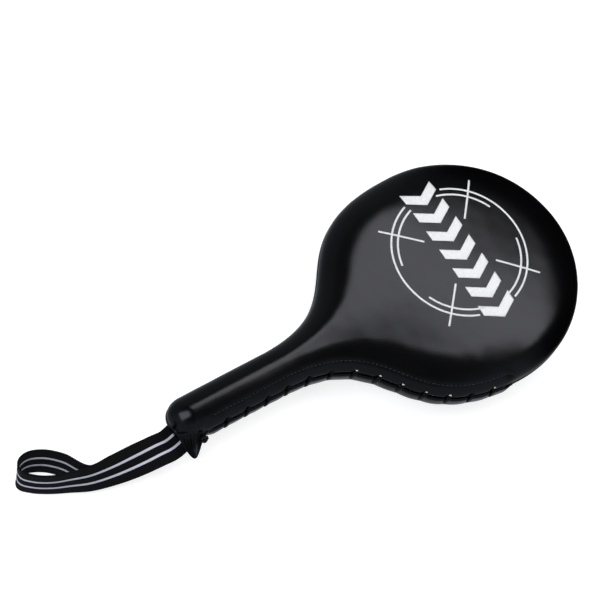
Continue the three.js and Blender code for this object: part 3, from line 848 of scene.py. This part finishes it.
def makeLace(trees):
    leather = leatherMaterial("laceLeather", laceFinish)
    rows = []
    pitch = crossingRuns[1] - crossingRuns[0]
    rng = random.Random(5)

    def add(run, place, lift, width, across):
        point, normal, surface = hemLift(run, place, trees)
        rows.append((*(point + normal * (lift if lift < 0 else surface + lift)), *across, width))

    for k, run in enumerate(crossingRuns):
        along = edgeFrame(run)[1]
        lean = rng.uniform(*lace["lean"])
        slit = float(slitPlace(run))
        front, back = lace["holeArc"][1], lace["holeArc"][-1]
        rim = max(hemLift(run, slit + 0.002, trees)[2], hemLift(run, slit - 0.002, trees)[2])
        add(run + lean, slit + front * 0.85, lace["inside"], lace["narrowed"], along)
        add(run + lean, slit + front, lace["lift"] * 0.3, lace["narrowed"], along)
        add(run + lean * 0.8, slit + front * 0.72, lace["lift"], 0.95, along)
        rows.append((*(ribPoint(run, slit) + ribNormal(run, slit) * (rim + lace["lift"])), *along, 1.0))
        add(run - lean * 0.4, slit - back * 0.4, lace["lift"], 1.0, along)
        add(run - lean * 0.7, slit - back * 0.75, lace["lift"], 0.95, along)
        add(run - lean, slit - back, lace["lift"] * 0.3, lace["narrowed"], along)
        add(run - lean, slit - back * 0.9, lace["inside"], lace["narrowed"], along)
        if k < len(crossingRuns) - 1:
            for share in (0.3, 0.5, 0.7):
                place = slit - back * 0.8 + (front + back) * 0.8 * share
                upward = edgeFrame(run + pitch * share)[1] * 0.5 - Vector((0, 0, 0.85))
                add(run + pitch * share, place, lace["inside"] * 1.6, lace["narrowed"], upward)
    path = centripetal(rows, 4)
    widths = lace["width"] * path[:, 6:]
    piece = ribbonMesh("lace_leather_strip", path[:, :3], path[:, 3:6], widths, lace["thick"], laceSection(),
                       leather)
    weld(piece, 1e-7)
    finishPiece(piece, "paddle", "lace_leather", "edge_lace")
    print("lace", len(piece.data.polygons))
    return leather


# Pale foam blobs that poke out of the lace holes on the head and show as small white specks

foamTufts = {
    "fromX": -0.135,
    "skipped": 12,
    "size": 0.0019,
    "beside": 0.0014,
    "above": 0.0004,
    "sunk": 0.25,
    "shape": (0.8, 0.55, 0.6),  # along the edge, across it, and outward
    "ragged": 0.22,
    "rings": 7,
    "sides": 12,
}


def makeTufts(trees, foam):
    points, faces = [], []
    rng = random.Random(23)
    rings, sides = foamTufts["rings"], foamTufts["sides"]
    longer, wider, higher = foamTufts["shape"]
    for k, run in enumerate(crossingRuns):
        size = foamTufts["size"] * rng.uniform(0.7, 1.15)
        if np.interp(run, stations["run"], stations["x"]) < foamTufts["fromX"] or k == foamTufts["skipped"]:
            continue
        run = run + foamTufts["beside"]
        place = float(slitPlace(run)) + lace["holeArc"][1] + foamTufts["above"]
        point, normal, lift = hemLift(run, place, trees)
        along = edgeFrame(run)[1]
        across = normal.cross(along)
        centre = point + normal * (lift - size * foamTufts["sunk"])
        faces.extend(tubeFaces(rings, sides, start=len(points)))
        for i in range(rings):
            polar = math.pi * (i + 0.5) / rings
            for j in range(sides):
                turn = 2 * math.pi * j / sides
                spot = Vector((k * 3.1 + math.cos(turn), math.sin(turn), polar * 2))
                ragged = size * (1 + foamTufts["ragged"] * noise.noise(spot))
                points.append(centre + (along * math.cos(turn) * longer + across * math.sin(turn) * wider)
                              * ragged * math.sin(polar) + normal * ragged * math.cos(polar) * higher)
    piece = makePiece("foam_at_lace_holes", points, faces, foam)
    weld(piece, 1e-8)
    finishPiece(piece, "paddle", "soft_foam")
    print("foam at the lace holes", len(piece.data.polygons))


# Strap

strap = {
    "width": 0.025,
    "thick": 0.0016,
    "plySpacing": 0.002,
    "innerLength": 0.042,
    "innerTurn": 14,
    "exit": (-0.28, -0.0098),
    "step": 0.0009,
    "stripeRaise": 0.00012,
    "columns": (0.0, 0.012, 0.035, 0.08, 0.16, 0.24, 0.42, 0.5, 0.58, 0.76, 0.84, 0.92, 0.965, 0.988, 1.0),
    "edgeShare": 0.03,
    # the route: x, y, z in metres and the webbing's turn about x in degrees
    "doubled": [(-0.281, -0.0098, 0.0186, 1), (-0.291, -0.0093, 0.0183, 6), (-0.304, -0.0084, 0.0173, 22),
                (-0.328, -0.006, 0.0152, 46), (-0.348, -0.0025, 0.014, 62)],
    "near": [(-0.362, 0.0015, 0.0137, 72), (-0.377, 0.007, 0.0136, 79), (-0.389, 0.014, 0.0136, 80),
             (-0.396, 0.0215, 0.0136, 78), (-0.3935, 0.0285, 0.0135, 74)],
    "far": [(-0.385, 0.031, 0.0134, 71), (-0.373, 0.027, 0.0133, 69), (-0.361, 0.017, 0.0134, 67)],
}


def turnedWidth(turn, along):
    angle = math.radians(turn)
    width = np.array((0, math.cos(angle), math.sin(angle)))
    width = width - along * width.dot(along)
    return width / np.linalg.norm(width)


def plyRoute(layer):
    turn = math.radians(strap["innerTurn"])
    z = strap["doubled"][0][2]
    exitX, exitY = strap["exit"]
    inner = []
    for share in (1.0, 0.75, 0.5, 0.25):
        along = share * strap["innerLength"]
        inner.append((exitX + along * math.cos(turn), exitY + along * math.sin(turn), z, 0))
    route = np.array([*inner, *strap["doubled"]])
    along = np.gradient(route[:, :3], axis=0)
    along /= np.linalg.norm(along, axis=1, keepdims=True)
    for row, direction in zip(route, along):
        width = turnedWidth(row[3], direction)
        face = np.cross(width, direction)
        if face[2] < 0:
            face = -face
        row[:3] += face * layer * strap["plySpacing"] / 2
    return route


def makeStrap():
    upper = plyRoute(1)
    lower = plyRoute(-1)[::-1]
    route = np.vstack([upper, strap["near"], strap["far"], lower])
    dense = centripetal(route, 24)
    run = runAlong(dense[:, :3])
    places = np.linspace(0, run[-1], int(run[-1] / strap["step"]))
    path = np.stack([np.interp(places, run, dense[:, i]) for i in range(4)], axis=1)
    for _ in range(6):
        path[1:-1] = path[1:-1] * 0.5 + (path[:-2] + path[2:]) * 0.25
    tangents = np.gradient(path[:, :3], axis=0)
    tangents /= np.linalg.norm(tangents, axis=1, keepdims=True)
    side = np.array([turnedWidth(turn, t) for turn, t in zip(path[:, 3], tangents)])
    face = np.cross(side, tangents)
    half = webbingFinish["stripeHalf"]
    across = set(strap["columns"])
    for middle in webbingFinish["stripePlaces"]:
        across |= {middle - half, middle + half, middle - half * 0.7, middle + half * 0.7, middle}
    upperSide = []
    for u in sorted(across):
        inset = min(u, 1 - u)
        fullness = math.sqrt(max(0.0, 1 - max(0.0, 1 - inset / strap["edgeShare"]) ** 2))
        onStripe = any(abs(u - m) < half * 0.8 for m in webbingFinish["stripePlaces"])
        raised = strap["stripeRaise"] if onStripe else 0
        upperSide.append((u, strap["thick"] / 2 * (0.25 + 0.75 * fullness) + raised))
    section = upperSide + [(u, -t) for u, t in reversed(upperSide)]
    columns = [path[:, :3] + side * ((u - 0.5) * strap["width"]) + face * t for u, t in section]
    grid = np.stack(columns, axis=1)
    count = len(grid)
    uvs = np.array([[u, k / (count - 1)] for k in range(count) for u, _ in section])
    length = float(places[-1])
    material = webbingMaterial(webbingFinish, length, strap["width"])
    faces = tubeFaces(*grid.shape[:2])
    piece = makePiece("wrist_strap_webbing", grid.reshape(-1, 3), faces, material, uvs=uvs)
    weld(piece, 1e-8)
    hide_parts("wrist_strap", "strap_upper_inner_end", "strap_lower_inner_end")
    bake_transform(piece)
    print("strap", round(length, 4), len(piece.data.polygons))


# Print on the front face

targetPrint = {
    "centre": (0.0036, 0.0105),
    "turn": 2.2,
    "ringRadius": 0.0557,
    "lineWidth": 0.0016,
    "innerShare": 0.906,
    "innerSpan": 30,
    "armFrom": 0.53,
    "armTo": 0.0668,
    "chevrons": 7,
    "chevronPitch": 0.0182,
    "chevronHigh": 0.030,
    "chevronThick": 0.0092,
    "chevronPoint": 0.0085,
    "bandClear": 0.0025,
    "steps": 26,
    "chevronRows": 9,
    "lift": 0.00016,
}


def printShapes(t):
    cx, cy = t["centre"]
    half = t["lineWidth"] / 2
    shapes = []

    def polar(radius, angle):
        return cx + radius * math.cos(angle), cy + radius * math.sin(angle)

    def arcStrip(radius, fromAngle, toAngle):
        steps = max(8, int(abs(toAngle - fromAngle) * radius / 0.0012))
        angles = [fromAngle + (toAngle - fromAngle) * i / steps for i in range(steps + 1)]
        return [[polar(radius - half, a), polar(radius, a), polar(radius + half, a)] for a in angles]

    steps = t["steps"]
    bandHalf = math.asin((t["chevronHigh"] / 2 + t["bandClear"]) / t["ringRadius"])
    for start in (-math.pi / 2, math.pi / 2):
        shapes.append(arcStrip(t["ringRadius"], start + bandHalf, start + math.pi - bandHalf))
    for k in range(4):
        middle = math.radians(45 + 90 * k + t["turn"])
        span = math.radians(t["innerSpan"])
        inner = t["ringRadius"] * t["innerShare"]
        shapes.append(arcStrip(inner, middle - span * (0.75 if k in (0, 2) else 1), middle + span))
        dx, dy = math.cos(middle), math.sin(middle)
        armFrom = t["ringRadius"] * t["armFrom"]
        strip = []
        for i in range(steps + 1):
            r = armFrom + (t["armTo"] - armFrom) * i / steps
            strip.append([(cx + dx * r - dy * w, cy + dy * r + dx * w) for w in (-half, 0, half)])
        shapes.append(strip)
    for k in range(t["chevrons"]):
        middle = cy + t["chevronPitch"] * ((t["chevrons"] - 1) / 2 - k)
        start = middle + t["chevronThick"] / 2 + t["chevronPoint"] / 2
        strip = []
        for i in range(steps + 1):
            w = -1 + 2 * i / steps
            edge = start - t["chevronPoint"] * (1 - abs(w))
            side = cx + w * t["chevronHigh"] / 2
            last = t["chevronRows"] - 1
            strip.append([(side, edge - t["chevronThick"] * j / last) for j in range(last + 1)])
        shapes.append(strip)
    return shapes


def makePrint(cover):
    tree = treeOf(cover)
    points, faces = [], []
    for strip in printShapes(targetPrint):
        faces.extend(gridFaces(len(strip), len(strip[0]), start=len(points)))
        for row in strip:
            for x, y in row:
                hit, normal, _, _ = tree.ray_cast(Vector((x, y, 0.2)), Vector((0, 0, -1)))
                points.append(hit + normal * targetPrint["lift"])
    piece = makePiece("target_print", points, faces, plainMaterial("whitePrint"))
    outwardFaces(piece, 1)
    applyModifier(piece, "SOLIDIFY", thickness=targetPrint["lift"] * 0.9, offset=-1)
    smoothFaces(piece.data)
    finishPiece(piece, "paddle", "cover_leather")
    print("print", len(piece.data.polygons))


# Stitches

stitching = {
    "length": 0.0026,
    "gap": 0.0010,
    "radius": 0.00032,
    "cornerBend": 0.0035,
    "begins": 0.004,  # from where the hem begins
    "ends": 0.002,
    "rings": 7,
    "sides": 6,
}


def makeStitches(name, faceSign, cover, node, thread):
    tree = treeOf(cover)
    width, bend = edgeWork["hemWidth"], stitching["cornerBend"]
    corner = hemTo - stitching["ends"]
    line = [(run, width) for run in np.arange(hemFrom + stitching["begins"], corner, 0.0005)]
    for k in range(1, 24):
        angle = math.pi / 2 * k / 23
        line.append((corner + bend * math.sin(angle), width - bend * (1 - math.cos(angle))))
    line += [(corner + bend, arc) for arc in np.arange(width - bend, 0.002, -0.0005)]
    route = np.array([ribPoint(run, float(slitPlace(run)) + faceSign * arc) for run, arc in line])
    length = runAlong(route)
    rings, sides = stitching["rings"], stitching["sides"]
    points, faces = [], []
    place = 0.0
    rng = random.Random(17)
    while place + stitching["length"] < length[-1]:
        size = stitching["length"] * rng.uniform(0.93, 1.05)
        path = []
        for share in np.linspace(0, 1, rings):
            p = Vector([np.interp(place + size * share, length, route[:, i]) for i in range(3)])
            hit, normal, _, _ = tree.find_nearest(p)
            bulge = math.sin(math.pi * share)
            path.append(hit + normal * (stitching["radius"] * (1.15 * bulge - 0.55)))
        faces.extend(tubeFaces(rings, sides, start=len(points)))
        for i, p in enumerate(path):
            ahead = (path[min(i + 1, rings - 1)] - path[max(i - 1, 0)]).normalized()
            normal = tree.find_nearest(p)[1]
            side = ahead.cross(normal).normalized()
            radius = stitching["radius"] * (0.55 + 0.45 * math.sin(math.pi * i / (rings - 1)))
            for j in range(sides):
                angle = 2 * math.pi * j / sides
                points.append(p + side * math.cos(angle) * radius + normal * math.sin(angle) * radius)
        place += stitching["length"] + stitching["gap"]
    piece = makePiece(name, points, faces, thread)
    weld(piece, 1e-8)
    finishPiece(piece, "paddle", "thread", node)
    print(name, len(piece.data.polygons))


# Gathered corner and knot

corner = {
    "base": (-0.2650, -0.0125, 0.0290),
    "tip": (-0.2718, -0.0298, 0.0240),
    "wide": 0.0118,
    "high": 0.0062,
    "tipShare": 0.27,
    "pleats": 9,
    "pleatDepth": 0.42,
    "around": 128,
    "along": 36,
}


def makeCorner(material):
    base, tip = Vector(corner["base"]), Vector(corner["tip"])
    axis = (tip - base).normalized()
    wide = Vector((1, 0, 0))
    wide = (wide - axis * wide.dot(axis)).normalized()
    high = wide.cross(axis)
    around, along = corner["around"], corner["along"]
    points = []
    for k in range(along + 1):
        t = k / along
        taper = corner["tipShare"] + (1 - corner["tipShare"]) * (1 - t) ** 1.15
        swell = taper * math.sqrt(1 - 0.985 * t ** 7)  # the tip is round
        centre = base.lerp(tip, t) + high * 0.0010 * math.sin(math.pi * t)
        for i in range(around):
            angle = 2 * math.pi * i / around
            fold = math.cos(angle * corner["pleats"] + 1.3 * t + 0.9 * math.sin(angle + 0.6))
            crease = (1 - abs(fold)) ** 1.4
            size = swell * (1 - corner["pleatDepth"] * crease * min(1, 0.5 + 1.2 * t))
            points.append(centre + wide * corner["wide"] * size * math.cos(angle)
                          + high * corner["high"] * size * math.sin(angle)
                          + axis * 0.0008 * fold * t * (1 - t))
    piece = makePiece("gathered_corner_leather", points, tubeFaces(along + 1, around), material)
    weld(piece, 1e-8)
    finishPiece(piece, "paddle", "cover_leather", "gathered_corner")
    print("gathered corner", len(piece.data.polygons))


knot = {
    "at": (-0.2595, -0.0208, 0.0302),
    "size": 0.0030,
    "wraps": [((0.2, 1, 0.3), 1.0), ((1, 0.25, -0.2), 0.86), ((-0.5, 0.5, 0.9), 0.8)],  # axis, size share
    "stripHalf": 0.0015,
    "stripDeep": 0.00055,
    "steps": 36,
}


def makeKnot(material):
    centre = Vector(knot["at"])
    points, faces = [], []
    section = laceSection(4)
    steps = knot["steps"]
    for axis, share in knot["wraps"]:
        axis = Vector(axis).normalized()
        first = axis.orthogonal().normalized()
        second = axis.cross(first)
        faces.extend(tubeFaces(steps, len(section), start=len(points), closed=True))
        for k in range(steps):
            angle = 2 * math.pi * k / steps
            out = first * math.cos(angle) + second * math.sin(angle)
            middle = centre + out * knot["size"] * share * (1 + 0.10 * math.sin(3 * angle))
            for across, through in section:
                points.append(middle + axis * across * knot["stripHalf"] + out * through * knot["stripDeep"])
    piece = makePiece("lace_knot_wraps", points, faces, material)
    weld(piece, 1e-8)
    finishPiece(piece, "paddle", "lace_leather", "lace_knot")
    print("knot", len(piece.data.polygons))


# Inner parts

def dressNodes():
    firm = foamMaterial("firmFoam", (0.10, 0.105, 0.115), (0.16, 0.165, 0.175), 0.0009)
    soft = foamMaterial("softFoam", (0.74, 0.71, 0.62), (0.86, 0.83, 0.76), 0.0014)
    board = plainMaterial("plyBoard")
    steel = plainMaterial("rivetSteel")
    thread = threadMaterial()
    finishes = {
        "core_board": board, "front_firm_foam": firm, "back_firm_foam": firm,
        "front_soft_foam": soft, "back_soft_foam": soft,
        "front_handle_foam": soft, "back_handle_foam": soft,
        "strap_rivet_1": steel, "strap_rivet_2": steel, "rivet_washer_1": steel, "rivet_washer_2": steel,
        "side_seam_stitching": thread,
    }
    for node, material in finishes.items():
        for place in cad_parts[node].material_slots:
            place.material = material
    print("inner parts", len(finishes))
    return thread, soft


makeCamera(cameraFit)
makeStudio()
makeFloor()
thread, softFoam = dressNodes()
frontCover, backCover = makeCovers()
coverTrees = [treeOf(frontCover), treeOf(backCover)]
laceLeather = makeLace(coverTrees)
makeTufts(coverTrees, softFoam)
makeStrap()
makePrint(frontCover)
makeStitches("front_hem_stitches", 1, frontCover, "front_hem_stitching", thread)
makeStitches("back_hem_stitches", -1, backCover, "back_hem_stitching", thread)
makeCorner(frontCover.data.materials[0])
makeKnot(laceLeather)
